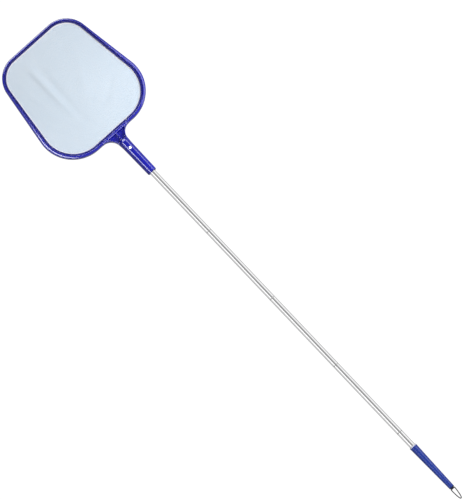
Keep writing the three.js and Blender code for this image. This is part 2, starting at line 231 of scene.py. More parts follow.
# Brightness of the studio round the line of the pole: degrees from straight up, towards +X.
STUDIO_ROUND_POLE = [
    (-178, 0.60), (-96, 0.68), (-86, 1.00), (-54, 1.00), (-48, 2.40), (-39, 2.40), (-33, 1.00),
    (-22, 0.46), (-8, 0.36), (10, 0.38), (24, 0.64), (36, 0.95), (50, 1.45), (66, 1.40), (86, 1.00),
    (96, 0.68), (178, 0.60),
]
STUDIO_ENDS = [(-1, 0.95), (-0.45, 0.85), (0, 0.45), (0.6, 0.25), (1, 0.25)]  # brightness against Y
SIDE_PANELS = (0.2, 0.3, 0.6)  # middle along Y, and how far from it they stay bright and are gone


def add_world():
    """What shiny surfaces mirror: bright panels beside the pole, a dim ceiling and dim ends."""
    world = bpy.data.worlds.new("studio")
    bpy.context.scene.world = world
    world.use_nodes = True
    world.cycles_visibility.diffuse = False
    studio = Nodes(world.node_tree)
    direction = studio.axes(studio.nodes.new("ShaderNodeTexCoord").outputs["Generated"])
    round_pole = studio.maths("ARCTAN2", direction["X"], direction["Z"])
    angle = studio.between(round_pole, 0, 1, -math.pi, math.pi)
    sides = studio.ramp(angle, [(0.5 + degrees / 360, grey) for degrees, grey in STUDIO_ROUND_POLE])
    along = studio.between(direction["Y"], 0, 1, -1, 1)
    ends = studio.ramp(along, [(0.5 + y / 2, grey) for y, grey in STUDIO_ENDS])
    middle, bright, gone = SIDE_PANELS
    panels = studio.ramp(along, [
        (0.5 + (middle - gone) / 2, 0), (0.5 + (middle - bright) / 2, 1),
        (0.5 + (middle + bright) / 2, 1), (0.5 + (middle + gone) / 2, 0),
    ])
    background = studio.nodes["Background"].inputs["Color"]
    studio.feed(background, studio.mix(panels, ends, sides))


FLOOR_HALF_WIDTH = 60  # metres
FLOOR_GAP = 0.0002  # metres that the floor lies under the part


def add_floor():
    """A pale floor that glows evenly and puts no colour on the part."""
    half = FLOOR_HALF_WIDTH
    corners = [(-half, -half, 0), (half, -half, 0), (half, half, 0), (-half, half, 0)]
    mesh = bpy.data.meshes.new("floor")
    mesh.from_pydata(corners, [], [(0, 1, 2, 3)])
    floor = put("floor", mesh)
    floor.location.z = -FLOOR_GAP
    floor.visible_diffuse = False
    floor.visible_glossy = False
    look = Look("floor_paint")
    grain = look.noise(scale=40, detail=2)
    look.colour(look.ramp(grain, [(0.3, 0.19), (0.7, 0.21)]))
    look.set(**{"Roughness": 0.9, "Specular IOR Level": 0.2})
    look.set(**{"Emission Color": (1, 1, 1, 1), "Emission Strength": 1.0})
    mesh.materials.append(look.material)


# ---- Material building ----

class Nodes:
    """Adds nodes to a tree. Inputs are outputs of other nodes, numbers or colours."""

    def __init__(self, tree):
        self.nodes = tree.nodes
        self.links = tree.links

    def feed(self, socket, value):
        if hasattr(value, "is_linked"):
            self.links.new(value, socket)
        else:
            socket.default_value = (*value, 1) if hasattr(value, "__len__") else value

    def axes(self, vector):
        """The X, Y and Z of a vector."""
        node = self.nodes.new("ShaderNodeSeparateXYZ")
        self.links.new(vector, node.inputs[0])
        return node.outputs

    def ramp(self, factor, stops):
        """A colour ramp with stops of (position, colour). A plain number makes a grey."""
        node = self.nodes.new("ShaderNodeValToRGB")
        elements = node.color_ramp.elements
        while len(elements) < len(stops):
            elements.new(0.5)
        for element, (position, colour) in zip(elements, stops):
            element.position = position
            element.color = (*colour, 1) if hasattr(colour, "__len__") else (colour, colour, colour, 1)
        self.links.new(factor, node.inputs[0])
        return node.outputs[0]

    def between(self, factor, low, high, start=0, end=1):
        """factor, which goes from start to end, stretched to run from low to high."""
        node = self.nodes.new("ShaderNodeMapRange")
        for socket, value in zip(node.inputs, (factor, start, end, low, high)):
            self.feed(socket, value)
        return node.outputs[0]

    def maths(self, operation, *values):
        node = self.nodes.new("ShaderNodeMath")
        node.operation = operation
        for socket, value in zip(node.inputs, values):
            self.feed(socket, value)
        return node.outputs[0]

    def mix(self, factor, a, b):
        """The colour a, with factor of the colour b mixed in."""
        node = self.nodes.new("ShaderNodeMix")
        node.data_type = "RGBA"
        for index, value in ((0, factor), (6, a), (7, b)):
            self.feed(node.inputs[index], value)
        return node.outputs[2]


class Look(Nodes):
    """A node material around one Principled shader."""

    def __init__(self, name):
        self.material = bpy.data.materials.new(name)
        self.material.use_nodes = True
        super().__init__(self.material.node_tree)
        self.shader = self.nodes["Principled BSDF"]
        self.place = self.nodes.new("ShaderNodeTexCoord").outputs["Object"]

    def set(self, **values):
        """Sets the shader's own sockets to plain values."""
        for socket, value in values.items():
            self.shader.inputs[socket].default_value = value

    def link(self, output, socket):
        self.links.new(output, self.shader.inputs[socket])

    def colour(self, output):
        self.link(output, "Base Color")

    def stretched(self, scale, turn=0):
        """Object coordinates scaled by scale along x, y and z."""
        mapping = self.nodes.new("ShaderNodeMapping")
        mapping.inputs["Scale"].default_value = scale
        mapping.inputs["Rotation"].default_value = (0, 0, turn)
        self.links.new(self.place, mapping.inputs["Vector"])
        return mapping.outputs[0]

    def noise(self, scale, detail=2, place=None):
        node = self.nodes.new("ShaderNodeTexNoise")
        node.inputs["Scale"].default_value = scale
        node.inputs["Detail"].default_value = detail
        self.links.new(place or self.place, node.inputs["Vector"])
        return node.outputs["Fac"]

    def bump(self, height, depth, strength):
        """Bump whose height, from 0 to 1, is depth metres."""
        node = self.nodes.new("ShaderNodeBump")
        node.inputs["Strength"].default_value = strength
        node.inputs["Distance"].default_value = depth
        self.links.new(height, node.inputs["Height"])
        self.link(node.outputs[0], "Normal")


# ---- Materials ----

# Colour of a pale band round the grip's mouth, and its width in millimetres.
PALE_LIP = (0.82, 0.84, 0.98)
PALE_LIP_WIDTH = 3.4


def moulded_plastic(
    name, deep, light, roughness, grain_scale, specular=0.5, grain_depth=0.00002, pale_from=None
):
    """Moulded plastic with faint flow marks, fine grain and a few duller rubbed patches.

    With pale_from, the plastic's colour beyond that distance along Y, in metres, turns to a pale
    lavender band round the mouth.
    """
    look = Look(name)
    flow = look.noise(scale=14, detail=3, place=look.stretched((1, 0.35, 1)))
    tint = look.ramp(flow, [(0.3, deep), (0.7, light)])
    if pale_from is not None:
        in_lip = look.maths("GREATER_THAN", look.axes(look.place)["Y"], pale_from)
        tint = look.mix(in_lip, tint, PALE_LIP)
    look.colour(tint)
    rubbed = look.noise(scale=40, detail=3)
    look.link(look.between(rubbed, roughness - 0.01, roughness + 0.03), "Roughness")
    grain = look.noise(scale=grain_scale, detail=2)
    look.bump(grain, depth=grain_depth, strength=0.5)
    look.set(**{"Specular IOR Level": specular})
    return look.material


def drawn_aluminium():
    """Bright drawn tube: fine lines along the pole and a few shallow handling marks."""
    look = Look("drawn_aluminium")
    lines = look.noise(scale=900, detail=2, place=look.stretched((1, 0.012, 1)))
    marks = look.noise(scale=60, detail=5, place=look.stretched((1, 0.2, 1)))
    look.colour(look.ramp(lines, [(0.25, (0.66, 0.66, 0.665)), (0.75, (0.76, 0.76, 0.765))]))
    dull = look.maths("ADD", look.between(lines, 0.13, 0.21), look.between(marks, -0.03, 0.06))
    look.link(dull, "Roughness")
    look.bump(lines, depth=0.000012, strength=0.6)
    look.set(Metallic=1.0)
    return look.material


def bright_metal(name, dark, light, roughness, scale):
    """Bare metal whose cloudy marks change its tone and its gloss a little."""
    look = Look(name)
    marks = look.noise(scale=scale, detail=4)
    look.colour(look.ramp(marks, [(0.3, dark), (0.7, light)]))
    look.link(look.between(marks, roughness, roughness + 0.15), "Roughness")
    look.bump(marks, depth=0.00001, strength=0.4)
    look.set(Metallic=1.0)
    return look.material


NET_PITCH = 0.00125  # metres between the threads of the weave


def woven_net():
    """Open plain weave of pale thread. The holes between the threads are see-through."""
    look = Look("woven_net")
    place = look.axes(look.place)
    waves = []
    for axis in "XY":
        turns = look.maths("MULTIPLY", place[axis], math.pi / NET_PITCH)
        waves.append(look.maths("ABSOLUTE", look.maths("SINE", turns)))
    thread = look.maths("MAXIMUM", *waves)
    cover = look.ramp(thread, [(0.62, 0.10), (0.84, 1.0)])
    look.link(cover, "Alpha")
    tone = look.noise(scale=5, detail=3)
    fine = look.noise(scale=420, detail=2)
    cloudy = look.ramp(tone, [(0.3, (0.48, 0.63, 0.78)), (0.7, (0.58, 0.72, 0.86))])
    look.colour(look.mix(look.between(fine, 0.0, 0.35), cloudy, (0.74, 0.82, 0.90)))
    look.bump(thread, depth=0.00015, strength=0.6)
    look.link(look.between(fine, 0.55, 0.8), "Roughness")
    look.set(**{"Sheen Weight": 0.15, "Specular IOR Level": 0.3})
    return look.material


def hem_tape():
    """White twill tape round the net's edge."""
    look = Look("hem_tape")
    twill = look.nodes.new("ShaderNodeTexWave")
    twill.inputs["Scale"].default_value = 260
    twill.inputs["Distortion"].default_value = 0.4
    look.links.new(look.stretched((1, 1, 1), math.radians(35)), twill.inputs["Vector"])
    tone = look.noise(scale=80, detail=3)
    base = look.ramp(tone, [(0.3, (0.93, 0.94, 0.96)), (0.7, (0.98, 0.98, 0.99))])
    look.colour(look.mix(look.between(twill.outputs["Fac"], 0.0, 0.2), base, (0.70, 0.75, 0.82)))
    look.bump(twill.outputs["Fac"], depth=0.0001, strength=0.5)
    look.link(look.between(tone, 0.7, 0.9), "Roughness")
    return look.material


def make_materials():
    """Every material, by the piece that it is for."""
    lip_start = millimetre_box("grip_sleeve")[1].y - PALE_LIP_WIDTH
    return {
        "head": moulded_plastic(
            "head_plastic", (0.003, 0.004, 0.27), (0.006, 0.007, 0.34), 0.13, 900, 0.4, 0.000006,
        ),
        "retainer": moulded_plastic(
            "retainer_plastic", (0.003, 0.003, 0.13), (0.005, 0.005, 0.17), 0.3, 900, 0.3,
        ),
        "grip": moulded_plastic(
            "grip_plastic", (0.004, 0.034, 0.36), (0.008, 0.050, 0.45), 0.22, 1400, 0.4, 0.00001,
            pale_from=lip_start * MM,
        ),
        "cap": moulded_plastic(
            "cap_plastic", (0.006, 0.010, 0.040), (0.010, 0.016, 0.060), 0.38, 1400,
        ),
        "nylon": moulded_plastic("plug_nylon", (0.52, 0.52, 0.50), (0.62, 0.62, 0.60), 0.45, 1200),
        "aluminium": drawn_aluminium(),
        "button": bright_metal("button_metal", (0.90, 0.90, 0.92), (0.97, 0.97, 0.98), 0.35, 300),
        "spring": bright_metal("spring_steel", (0.22, 0.23, 0.25), (0.32, 0.33, 0.35), 0.25, 250),
        "wire": bright_metal(
            "wire_steel", (0.018, 0.020, 0.026), (0.045, 0.050, 0.060), 0.28, 400,
        ),
        "net": woven_net(),
        "hem": hem_tape(),
    }


# ---- Mesh building ----

def object_from(name, corners, faces, material, sharp=35):
    """An object with smooth shading, except where faces meet at more than sharp degrees.

    The corners are in millimetres, in the frame of the CAD model.
    """
    mesh = bpy.data.meshes.new(name)
    mesh.from_pydata([tuple(corner) for corner in np.asarray(corners) * MM], [], faces)
    mesh.validate()
    mesh.shade_smooth()
    mesh.set_sharp_from_angle(angle=math.radians(sharp))
    mesh.materials.append(material)
    return put(name, mesh)


def grid_faces(rows, columns, close_rows=False):
    """Quads between the points of a rows by columns grid, whose columns run right round."""
    faces = []
    for i in range(rows if close_rows else rows - 1):
        for j in range(columns):
            k, m = (i + 1) % rows, (j + 1) % columns
            faces.append((i * columns + j, i * columns + m, k * columns + m, k * columns + j))
    return faces


ROUND_STEPS = 96  # segments round the tubes, the plugs and the grip


def round_angles(steps):
    return np.arange(steps) * 2 * math.pi / steps


def turned(name, profile, material):
    """A closed piece turned about the pole's axis. profile lists (radius, v)."""
    corners = [
        (radius * math.sin(angle), v + MOUTH_Y, AXIS_HEIGHT + radius * math.cos(angle))
        for radius, v in profile for angle in round_angles(ROUND_STEPS)
    ]
    faces = grid_faces(len(profile), ROUND_STEPS, close_rows=True)
    piece = object_from(name, corners, faces, material)
    weld(piece)
    return piece


def stood(name, profile, material, steps):
    """A piece turned about the snap button's upright line. profile lists (radius, height)."""
    corners = [
        (radius * math.cos(angle), BUTTON_V + MOUTH_Y + radius * math.sin(angle), height)
        for radius, height in profile for angle in round_angles(steps)
    ]
    piece = object_from(name, corners, grid_faces(len(profile), steps), material)
    weld(piece)
    return piece


def weld(piece):
    """Merges points that coincide, as at the ends of a turned piece, and turns faces outwards."""
    mesh = bmesh.new()
    mesh.from_mesh(piece.data)
    bmesh.ops.remove_doubles(mesh, verts=mesh.verts, dist=1e-6)
    bmesh.ops.dissolve_degenerate(mesh, edges=mesh.edges, dist=1e-7)
    bmesh.ops.recalc_face_normals(mesh, faces=mesh.faces)
    mesh.to_mesh(piece.data)
    mesh.free()


def arc(centre, radius, start, end, steps):
    """Points on an arc, from the angle start to end in degrees."""
    angles = np.radians(np.linspace(start, end, steps + 1))
    return [(centre[0] + radius * math.cos(a), centre[1] + radius * math.sin(a)) for a in angles]


def smooth_step(share):
    """0 to 1 with a gentle start and end, as share goes from 0 to 1."""
    return share * share * (3 - 2 * share)


# ---- The rim's outline ----

class Outline:
    """The rim's trapezoid with rounded corners, moved outwards by grow. Its centre is (0, 0)."""

    def __init__(self, size, grow=0):
        lean = (size["near_half"] - size["far_half"]) / (size["far"] - size["near"])
        sideways = grow * math.sqrt(1 + lean * lean)
        far_half = size["far_half"] + sideways - grow * lean
        near_half = size["near_half"] + sideways + grow * lean
        far, near = size["far"] + grow, size["near"] - grow
        sharp = [(near_half, near), (far_half, far), (-far_half, far), (-near_half, near)]
        near_round, far_round = size["near_round"] + grow, size["far_round"] + grow
        rounds = [near_round, far_round, far_round, near_round]
        self.sharp = np.array(sharp, float)
        self.rounds = np.array(rounds, float)
        after = np.roll(self.sharp, -1, axis=0) - self.sharp
        self.along = after / np.linalg.norm(after, axis=1)[:, None]  # side i leaves corner i
        self.out = np.stack([self.along[:, 1], -self.along[:, 0]], axis=1)
        self.centres = []
        for i in range(4):
            inwards = self.along[i] - self.along[i - 1]
            inwards /= np.linalg.norm(inwards)
            half_angle = math.acos(np.dot(-self.along[i - 1], self.along[i])) / 2
            self.centres.append(self.sharp[i] + inwards * rounds[i] / math.sin(half_angle))
        self._walk()

    def _walk(self):
        """The stretches of the outline, anticlockwise from the middle of the near side."""
        self.stretches = []
        at = np.array([0.0, self.sharp[0][1]])
        for i in range(4):
            before, after = self.out[i - 1], self.out[i]
            start = self.centres[i] + self.rounds[i] * before
            self.stretches.append(("line", at, start, before))
            self.stretches.append(("arc", self.centres[i], self.rounds[i], before, after))
            at = self.centres[i] + self.rounds[i] * after
        self.stretches.append(("line", at, np.array([0.0, self.sharp[0][1]]), self.out[3]))

    def path(self, step):
        """Points and outward directions round the outline, about step apart."""
        points, outs = [], []
        for stretch in self.stretches:
            if stretch[0] == "line":
                _, start, end, out = stretch
                count = max(1, round(np.linalg.norm(end - start) / step))
                for t in np.arange(count) / count:
                    points.append(start + (end - start) * t)
                    outs.append(out)
            else:
                _, centre, radius, before, after = stretch
                first = math.atan2(before[1], before[0])
                turn = math.acos(np.clip(np.dot(before, after), -1, 1))
                count = max(1, round(turn * radius / step))
                for t in np.arange(count) / count:
                    out = np.array([math.cos(first + turn * t), math.sin(first + turn * t)])
                    points.append(centre + radius * out)
                    outs.append(out)
        return np.array(points), np.array(outs)

    def distance(self, x, y):
        """Signed distance to the outline, negative inside."""
        sides = [
            (x - corner[0]) * out[0] + (y - corner[1]) * out[1]
            for corner, out in zip(self.sharp, self.out)
        ]
        result = np.maximum(np.maximum(sides[0], sides[1]), np.maximum(sides[2], sides[3]))
        for i, centre in enumerate(self.centres):
            dx, dy = x - centre[0], y - centre[1]
            before, after = self.along[i - 1], self.along[i]
            in_corner = (dx * before[0] + dy * before[1] > 0) & (dx * after[0] + dy * after[1] < 0)
            result = np.where(in_corner, np.hypot(dx, dy) - self.rounds[i], result)
        return result


# ---- Solids from distance fields ----

def cut_to(a, b, radius):
    """Where both a and b are negative, with the edge between them rounded."""
    corner = np.hypot(np.maximum(a + radius, 0), np.maximum(b + radius, 0))
    return np.minimum(np.maximum(a, b), -radius) + corner


def joined(a, b, radius):
    """Where a or b is negative, with a fillet between them."""
    return -cut_to(-a, -b, radius)


def hollowed(a, b, radius):
    """a with b taken away, with the edge rounded."""
    return cut_to(a, -b, radius)


def gradient(field, points, reach=0.02):
    """How fast field grows along x, y and z at each point."""
    x, y, z = points.T
    slopes = [
        field(x + reach, y, z) - field(x - reach, y, z),
        field(x, y + reach, z) - field(x, y - reach, z),
        field(x, y, z + reach) - field(x, y, z - reach),
    ]
    return np.stack(slopes, axis=1) / (2 * reach)


def surface_of(field, low, high, cell):
    """Points and quads of the surface where field is zero, one point in each cell it crosses."""
    axes = [np.arange(a, b + cell, cell) for a, b in zip(low, high)]
    x, y, z = np.meshgrid(*axes, indexing="ij", sparse=True)
    inside = field(x, y, z) < 0
    nx, ny, nz = (n - 1 for n in inside.shape)
    corners_inside = np.zeros((nx, ny, nz), np.int8)
    for i, j, k in np.ndindex(2, 2, 2):
        corners_inside += inside[i:i + nx, j:j + ny, k:k + nz]
    crossed = (corners_inside > 0) & (corners_inside < 8)
    number = np.full(crossed.shape, -1, np.int32)
    number[crossed] = np.arange(crossed.sum())
    cells_crossed = zip(axes, np.nonzero(crossed))
    points = np.stack([axis[index] + cell / 2 for axis, index in cells_crossed], axis=1)
    return settled(field, points, cell), np.concatenate(quads_between(inside, number))


def quads_between(inside, number):
    """A quad round each grid edge with one end inside, through the points of its four cells."""
    quads = []
    for axis in range(3):
        first = np.moveaxis(inside, axis, 0)
        cells = np.moveaxis(number, axis, 0)
        changes = first[1:, 1:-1, 1:-1] != first[:-1, 1:-1, 1:-1]
        i, j, k = np.nonzero(changes)
        around = np.stack([
            cells[i, j, k], cells[i, j + 1, k], cells[i, j + 1, k + 1], cells[i, j, k + 1],
        ], axis=1)
        outwards = first[i, j + 1, k + 1]
        flip = ~outwards if axis != 1 else outwards
        around[flip] = around[flip][:, ::-1]
        quads.append(around)
    return quads


SETTLING_STEPS = 4


def settled(field, points, cell):
    """The points, moved down the field's slope until they lie where it is zero."""
    for _ in range(SETTLING_STEPS):
        value = field(*points.T)
        slope = gradient(field, points)
        step = -(value / np.maximum((slope ** 2).sum(1), 0.1))[:, None] * slope
        size = np.linalg.norm(step, axis=1)[:, None]
        points += step * np.minimum(1, cell / np.maximum(size, 1e-9))
    return points


def solid_piece(name, field, low, high, cell, material):
    """The surface of a distance field, kept inside the box from low to high, with true normals."""
    margin = 2 * cell
    points, quads = surface_of(field, np.array(low) - margin, np.array(high) + margin, cell)
    normals = gradient(field, points)
    normals /= np.maximum(np.linalg.norm(normals, axis=1), 1e-6)[:, None]
    points = np.clip(points, low, high)
    points[:, 1] += MOUTH_Y
    piece = object_from(name, points, quads.tolist(), material, sharp=180)
    piece.data.normals_split_custom_set_from_vertices(normals.tolist())
    return piece


# ---- Head moulding ----

BEAD_RIDGE = -0.55  # where the bead is highest, from -1 at its inner edge to 1 at its outer edge
BEAD_DROP = 2.9  # how much lower the outer edge is
BEAD_CURVE = 1.5  # power of the slope from the ridge to the edge
LIP_DROP = 1.2  # how much lower the outer edge is along the far side
LIP_REACH = (60, 130)  # where the one drop turns into the other, measured from the rim's centre
LEDGE_OVERLAP = 2.8
LEDGE_HIDDEN = 0.4
THROAT_OVERLAP = 2.8  # how far the throat runs into the rim
HEAD_CELL = 0.85

# Radii of the moulding's rounded edges and fillets.
BEAD_ROUND = 1.5
BEAD_FOOT_ROUND = 1.0
LEDGE_ROUND = 0.5
THROAT_ROUND = 2.2
POCKET_CORNER_ROUND = 0.8
POCKET_FLOOR_ROUND = 1.2
POCKET_EDGE_ROUND = 1.9
SOCKET_FOOT_ROUND = 0.6
BORE_EDGE_ROUND = 0.4
BUTTON_HOLE_ROUND = 0.7
SOCKET_FILLET = 1.6
RIM_FILLET = 1.0

outer_outline = Outline(RIM_OUTER)
bead_inner_outline = Outline(RIM_INNER, RING_WIDTH + FIT_GAP)
ledge_outer_outline = Outline(RIM_INNER, RING_WIDTH + LEDGE_OVERLAP)
ledge_inner_outline = Outline(RIM_INNER, LEDGE_HIDDEN)


def rim_field(x, v, z):
    """The bead, whose top slopes outwards from a ridge, and the ledge inside it."""
    y = v - RIM_CENTRE_V
    outside = outer_outline.distance(x, y)
    inside = -bead_inner_outline.distance(x, y)
    width = np.maximum(-outside - inside, 0.5)
    across = np.clip((outside - inside) / width, -1, 1)
    share = np.clip((y - LIP_REACH[0]) / (LIP_REACH[1] - LIP_REACH[0]), 0, 1)
    drop = BEAD_DROP + smooth_step(share) * (LIP_DROP - BEAD_DROP)
    outer_slope = (across - BEAD_RIDGE) / (1 - BEAD_RIDGE)
    slope = np.where(across > BEAD_RIDGE, outer_slope, BEAD_RIDGE - across)
    steepness = 0.9  # turns the height over the sloping top into a distance from it
    top = (z - RIM_HEIGHT + drop * slope ** BEAD_CURVE) * steepness
    bead = cut_to(np.maximum(outside, inside), top, BEAD_ROUND)
    bead = cut_to(bead, -z, BEAD_FOOT_ROUND)
    ledge_outside = ledge_outer_outline.distance(x, y)
    ledge_sides = np.maximum(ledge_outside, -ledge_inner_outline.distance(x, y))
    ledge = cut_to(ledge_sides, np.abs(z - LEDGE_HEIGHT / 2) - LEDGE_HEIGHT / 2, LEDGE_ROUND)
    return joined(bead, ledge, LEDGE_ROUND)


def throat_sides(x, v):
    """Distance outside the throat's outline, seen from above."""
    beside = np.abs(x)
    flare = FLARE_RADIUS - np.hypot(beside - FLARE_CENTRE[0], v - FLARE_CENTRE[1])
    neck = FLARE_CENTRE[0] - FLARE_RADIUS
    slope = (neck - RIB_RUN_OUT[0]) / (FLARE_CENTRE[1] - RIB_RUN_OUT[1])
    run_out = beside - (neck + (v - FLARE_CENTRE[1]) * slope)
    side = np.where(v > FLARE_CENTRE[1], flare, run_out)
    far = v - (RIM_CENTRE_V + RIM_OUTER["near"] + THROAT_OVERLAP)
    ends = np.maximum(np.maximum(far, RIB_RUN_OUT[1] - v), beside - FLARE_CENTRE[0])
    return np.maximum(side, ends)


def pocket_sides(x, v):
    """Distance outside the two pockets, which lie between a side rib and the middle rib."""
    beside = np.abs(x)
    flare = FLARE_RADIUS + SIDE_RIB - np.hypot(beside - FLARE_CENTRE[0], v - FLARE_CENTRE[1])
    across = cut_to(flare, MIDDLE_RIB / 2 - beside, POCKET_CORNER_ROUND)
    ends = np.maximum(v - POCKET_FAR_V, POCKET_NEAR_V - v)
    return cut_to(across, ends, POCKET_CORNER_ROUND)


def throat_field(x, v, z):
    """The throat's block, with the pockets sunk into it."""
    block = cut_to(throat_sides(x, v), np.maximum(z - THROAT_HEIGHT, -z), THROAT_ROUND)
    share = np.clip((v - POCKET_NEAR_V) / (POCKET_FAR_V - POCKET_NEAR_V), 0, 1)
    floor = THROAT_WEB[0] + (THROAT_WEB[1] - THROAT_WEB[0]) * share
    pocket = cut_to(pocket_sides(x, v), floor - z, POCKET_FLOOR_ROUND)
    return hollowed(block, pocket, POCKET_EDGE_ROUND)


def socket_field(x, v, z):
    """A tapered barrel with a rounded nose, cut flat at the ground. It isn't bored yet."""
    radius = np.hypot(x, z - AXIS_HEIGHT)
    taper = (SOCKET_END_RADIUS - SOCKET_MOUTH_RADIUS) / SOCKET_BARREL
    barrel = radius - (SOCKET_MOUTH_RADIUS + taper * v)
    nose_depth = SOCKET_END_RADIUS - SOCKET_NOSE_RADIUS
    nose_length = SOCKET_LENGTH - SOCKET_BARREL
    from_nose = np.maximum(radius - SOCKET_NOSE_RADIUS, 0) / nose_depth
    bulge = np.hypot(from_nose, (v - SOCKET_BARREL) / nose_length)
    outside = np.where(v > SOCKET_BARREL, (bulge - 1) * nose_length, barrel)
    body = cut_to(outside, -v, SOCKET_MOUTH_ROUND)
    return cut_to(body, -z, SOCKET_FOOT_ROUND)


def bore_field(x, v, z):
    """The socket's bore, which opens in a cone at the mouth."""
    radius = np.hypot(x, z - AXIS_HEIGHT)
    bore = np.maximum(radius - SOCKET_BORE_RADIUS, v - SOCKET_BORE_DEPTH)
    lead_in = (radius - SOCKET_BORE_RADIUS - SOCKET_LEAD_IN + v) * math.sqrt(0.5)
    return np.minimum(bore, lead_in)


def head_field(x, v, z):
    throat = joined(throat_field(x, v, z), socket_field(x, v, z), SOCKET_FILLET)
    whole = joined(rim_field(x, v, z), throat, RIM_FILLET)
    whole = hollowed(whole, bore_field(x, v, z), BORE_EDGE_ROUND)
    hole = np.maximum(np.hypot(x, v - BUTTON_V) - BUTTON_HOLE_RADIUS, AXIS_HEIGHT - z)
    return hollowed(whole, hole, BUTTON_HOLE_ROUND)


def add_head_moulding(materials):
    low, high = millimetre_box("head_frame")
    low = (low.x, low.y - MOUTH_Y, low.z)
    high = (high.x, high.y - MOUTH_Y, high.z)
    head = solid_piece("head_moulding", head_field, low, high, HEAD_CELL, materials["head"])
    finish_piece(head, "head", "head_frame")


def finish_piece(piece, body, node=None):
    """Makes the piece ride on its body, and hides the CAD node that it stands for, if one is given."""
    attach(piece, body)
    if node:
        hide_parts(node)


# ---- Mesh retainer ----

def rounded_section(half_width, bottom, top, edge, steps=4):
    """A rectangle with rounded edges, as (across, height) points, anticlockwise."""
    corners = [
        ((half_width - edge, bottom + edge), -90), ((half_width - edge, top - edge), 0),
        ((-half_width + edge, top - edge), 90), ((-half_width + edge, bottom + edge), 180),
    ]
    return [point for centre, start in corners for point in arc(centre, edge, start, start + 90, steps)]


def swept(name, points, outs, section, material, closed=True):
    """A section of (across, height) points carried along a flat path round the rim's centre."""
    centre_y = RIM_CENTRE_V + MOUTH_Y
    rows = [
        (point[0] + out[0] * across, point[1] + out[1] * across + centre_y, height)
        for point, out in zip(points, outs) for across, height in section
    ]
    faces = grid_faces(len(points), len(section), close_rows=closed)
    if not closed:
        last = len(points) * len(section)
        faces.append(tuple(range(len(section)))[::-1])
        faces.append(tuple(range(last - len(section), last)))
    piece = object_from(name, rows, faces, material)
    weld(piece)
    return piece


RING_ROUND = 1.3
PATH_STEP = 3  # between points along the ring, the net's edge and the hem


def add_retainer(materials):
    """The ring that pins the net, open at its split."""
    low, high = millimetre_box("mesh_retainer")
    middle = Outline(RIM_INNER, RING_WIDTH / 2)
    points, outs = middle.path(PATH_STEP)
    near_y = middle.sharp[0][1]
    half_gap = RING_SPLIT_WIDTH / 2
    near = points[:, 1] < near_y + 0.01
    in_gap = near & (np.abs(points[:, 0] - RING_SPLIT_X) < half_gap + 1)
    first = int(np.nonzero(in_gap)[0].max()) + 1
    order = [i % len(points) for i in range(first, first + len(points))]
    keep = [i for i in order if not in_gap[i]]
    start, end = (RING_SPLIT_X + half_gap, near_y), (RING_SPLIT_X - half_gap, near_y)
    points = np.concatenate([[start], points[keep], [end]])
    outs = np.concatenate([[(0, -1)], outs[keep], [(0, -1)]])
    section = rounded_section(RING_WIDTH / 2, low.z, high.z, RING_ROUND)
    ring = swept("mesh_retainer_ring", points, outs, section, materials["retainer"], closed=False)
    finish_piece(ring, "head", "mesh_retainer")


# ---- Net ----

NET_SAG = 1.3
NET_SLACK_REACH = 70  # how far inside the rim the net has its full sag and folds
NET_FOLDS = [
    # x, y, direction in degrees, half length, half width, height
    (-46, 62, 91, 90, 8, 3.8),
    (-31, 40, 87, 80, 10, -2.4),
    (-90, 60, 100, 50, 9, 1.5),
    (35, 10, 60, 90, 14, 1.1),
    (60, -60, 35, 60, 11, -1.0),
    (-70, -40, 120, 70, 12, 1.0),
    (10, -90, 10, 80, 12, 0.8),
]
NET_RINGS = 72
HEM_GROW = 0.7  # from the ring's inner edge out to the middle of the hem
HEM_HALF_WIDTH = 3.5
HEM_BELOW = 0.25  # how far the hem reaches below the net's middle
HEM_GAP = 0.18  # how far the hem stays below the retainer
HEM_ROUND = 0.2


def net_height(x, y):
    """Height of the net above its pinned edge: a slight sag and a few soft folds."""
    depth_inside = -Outline(RIM_INNER, 0).distance(x, y)
    slack = smooth_step(np.clip(depth_inside / NET_SLACK_REACH, 0, 1))
    height = -NET_SAG * slack
    for fold_x, fold_y, direction, length, width, rise in NET_FOLDS:
        angle = math.radians(direction)
        along = (x - fold_x) * math.cos(angle) + (y - fold_y) * math.sin(angle)
        across = (y - fold_y) * math.cos(angle) - (x - fold_x) * math.sin(angle)
        height = height + rise * slack * np.exp(-(along / length) ** 2 - (across / width) ** 2)
    return height


def net_sheet(pinned, material):
    """The net as rings of points that shrink from its pinned edge to one point in the middle."""
    edge, _ = Outline(RIM_INNER, NET_UNDER_RING).path(PATH_STEP)
    count = len(edge)
    shares = np.arange(NET_RINGS, 0, -1) / NET_RINGS
    flat = np.concatenate([*(edge * share for share in shares), [(0, 0)]])
    heights = pinned + net_height(flat[:, 0], flat[:, 1])
    corners = np.column_stack([flat[:, 0], flat[:, 1] + RIM_CENTRE_V + MOUTH_Y, heights])
    centre = len(corners) - 1
    last_ring = centre - count
    faces = grid_faces(NET_RINGS, count)
    faces += [(last_ring + j, last_ring + (j + 1) % count, centre) for j in range(count)]
    return object_from("net", corners, faces, material)


def add_net(materials):
    """The net, and the hem that is sewn round its edge."""
    low, high = millimetre_box("net_mesh")
    pinned = (low.z + high.z) / 2
    net = net_sheet(pinned, materials["net"])
    hem_path, hem_outs = Outline(RIM_INNER, HEM_GROW).path(PATH_STEP)
    hem_top = millimetre_box("mesh_retainer")[0].z - HEM_GAP
    section = rounded_section(HEM_HALF_WIDTH, pinned - HEM_BELOW, hem_top, HEM_ROUND, steps=2)
    hem = swept("net_hem", hem_path, hem_outs, section, materials["hem"])
    finish_piece(net, "head", "net_mesh")
    finish_piece(hem, "head")


# ---- Snap button and its spring ----

BUTTON_STEM_RADIUS = 3.4
BUTTON_DOME = 1.6
BUTTON_FLANGE = 1.4  # thickness
BUTTON_EDGE = 0.2
BUTTON_STEPS = 64
HOLE_STEPS = 48


